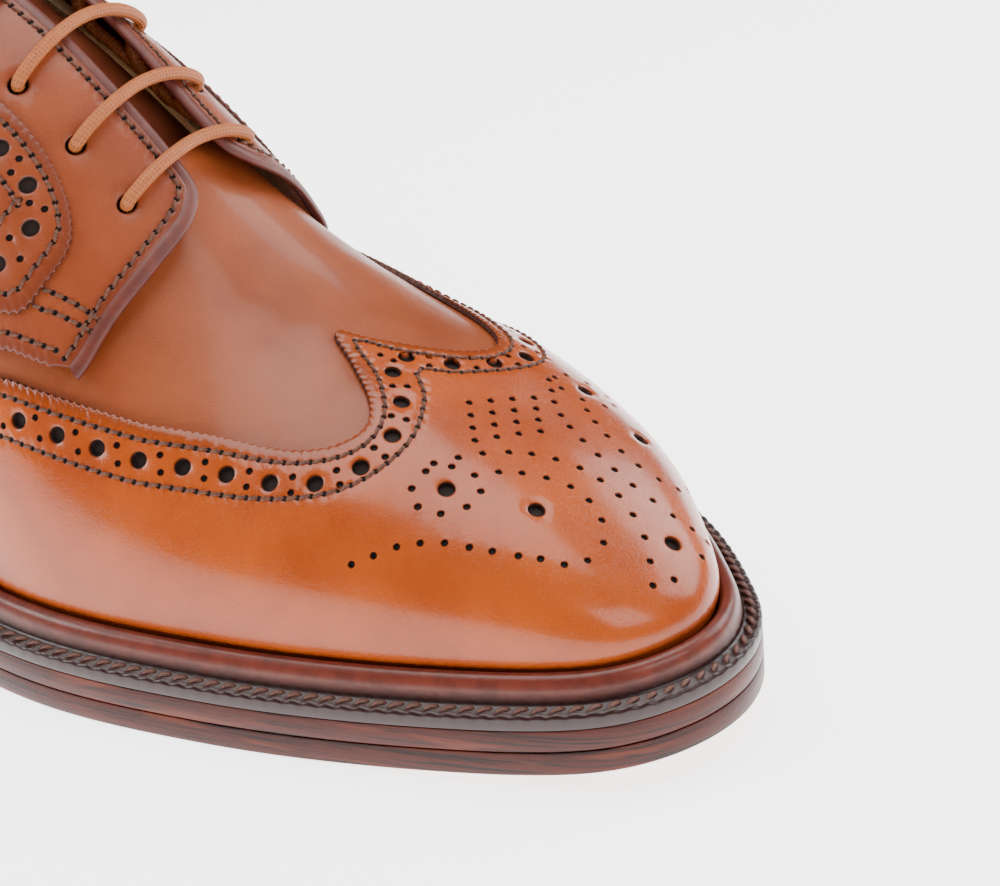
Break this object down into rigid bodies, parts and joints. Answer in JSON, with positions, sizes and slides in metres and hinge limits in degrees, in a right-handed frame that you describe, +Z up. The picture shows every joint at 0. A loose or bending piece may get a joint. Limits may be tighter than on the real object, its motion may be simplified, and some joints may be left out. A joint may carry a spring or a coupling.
{
  "type": "longwing brogue shoe",
  "caption": "Low lace-up brogue in brown leather with long wings, a peaked toe, raised storm welt, double leather sole and stacked heel.",
  "frame": {"origin": "bottom centre of the bounding box, on the floor under the sole", "axes": "+X to the toe, +Y to the inner side of the foot, +Z up"},
  "size_m": [0.2955, 0.1066, 0.127],
  "materials": {
    "sole_leather": "polished edge, mahogany",
    "welt_leather": "burnished, dark burgundy",
    "heel_rubber": "matt black",
    "heel_leather": "polished stacked lifts, mahogany",
    "insole_leather": "natural, smooth",
    "vamp_leather": "polished, pinkish brown",
    "tongue_leather": "soft, dark brown",
    "wing_leather": "polished, caramel tan",
    "quarter_leather": "polished, pinkish brown",
    "lace_cotton": "waxed round cord, tan"
  },
  "bodies": {
    "root": {"outsole": "sole_leather", "midsole": "sole_leather", "welt": "welt_leather", "heel_top_piece": "heel_rubber", "heel_lift_1": "heel_leather", "heel_lift_2": "heel_leather", "heel_lift_3": "heel_leather", "insole": "insole_leather", "upper": "vamp_leather", "tongue": "tongue_leather", "longwing": "wing_leather", "heel_strip": "quarter_leather", "quarter_lateral": "quarter_leather", "quarter_medial": "quarter_leather", "lace_bar_1": "lace_cotton", "lace_bar_2": "lace_cotton", "lace_bar_3": "lace_cotton", "lace_bar_4": "lace_cotton", "lace_bar_5": "lace_cotton"}
  },
  "joints": []
}
